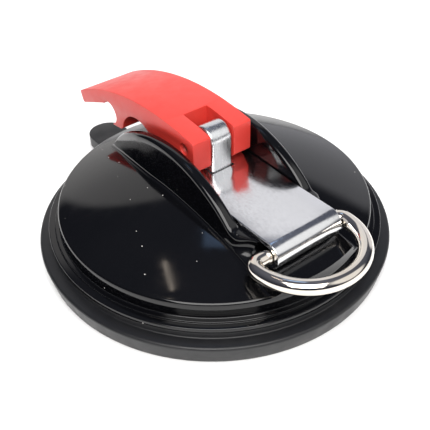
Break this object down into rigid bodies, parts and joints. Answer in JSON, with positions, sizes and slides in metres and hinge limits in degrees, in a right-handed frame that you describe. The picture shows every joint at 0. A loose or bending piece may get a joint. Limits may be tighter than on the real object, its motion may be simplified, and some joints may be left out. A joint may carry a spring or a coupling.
{
  "type": "suction_cup",
  "caption": "Lever-locked vacuum suction anchor: rubber pad under a domed black cover, red cam lever, chromed tie plate and a lashing ring.",
  "frame": {"origin": "centre of the sealing face, on the surface the pad grips", "axes": "+Z away from the gripped surface, +Y towards the lever's tip, X along the lever pin"},
  "size_m": [0.12, 0.1438, 0.045],
  "materials": {
    "pad_rubber": "satin",
    "anchor_steel": "satin",
    "stem_chrome": "polished",
    "spring_steel": "satin",
    "guide_nylon": "matte",
    "cover_abs": "gloss",
    "plate_chrome": "polished",
    "screw_steel": "satin",
    "ring_nickel": "polished",
    "lever_red": "satin",
    "pin_steel": "satin"
  },
  "bodies": {
    "base": {"cover": "cover_abs", "suction_pad": "pad_rubber", "tie_plate": "plate_chrome", "plate_screw_left": "screw_steel", "plate_screw_right": "screw_steel", "stem_guide": "guide_nylon", "return_spring": "spring_steel"},
    "stem": {"draw_stem": "stem_chrome", "anchor_plate": "anchor_steel", "anchor_nut": "anchor_steel", "spring_washer": "stem_chrome"},
    "lever": {"lever": "lever_red", "lever_pin": "pin_steel"},
    "ring": {"d_ring": "ring_nickel"}
  },
  "joints": [
    {"name": "stem_lift", "type": "slide", "parent": "base", "child": "stem", "axis": [0, 0, 1], "range_m": [-0.003, 0], "deforming": ["return_spring", "suction_pad"]},
    {"name": "lever_swing", "type": "hinge", "parent": "stem", "child": "lever", "pos_m": [0, 0, 0.0394], "axis": [1, 0, 0], "range_deg": [0, 90]},
    {"name": "ring_swing", "type": "hinge", "parent": "base", "child": "ring", "pos_m": [0, -0.0416, 0.02495], "axis": [-1, 0, 0], "range_deg": [0, 142]}
  ],
  "couplings": [
    {"joint": "stem_lift", "follows": "lever_swing", "m_per_rad": -0.0019099}
  ]
}
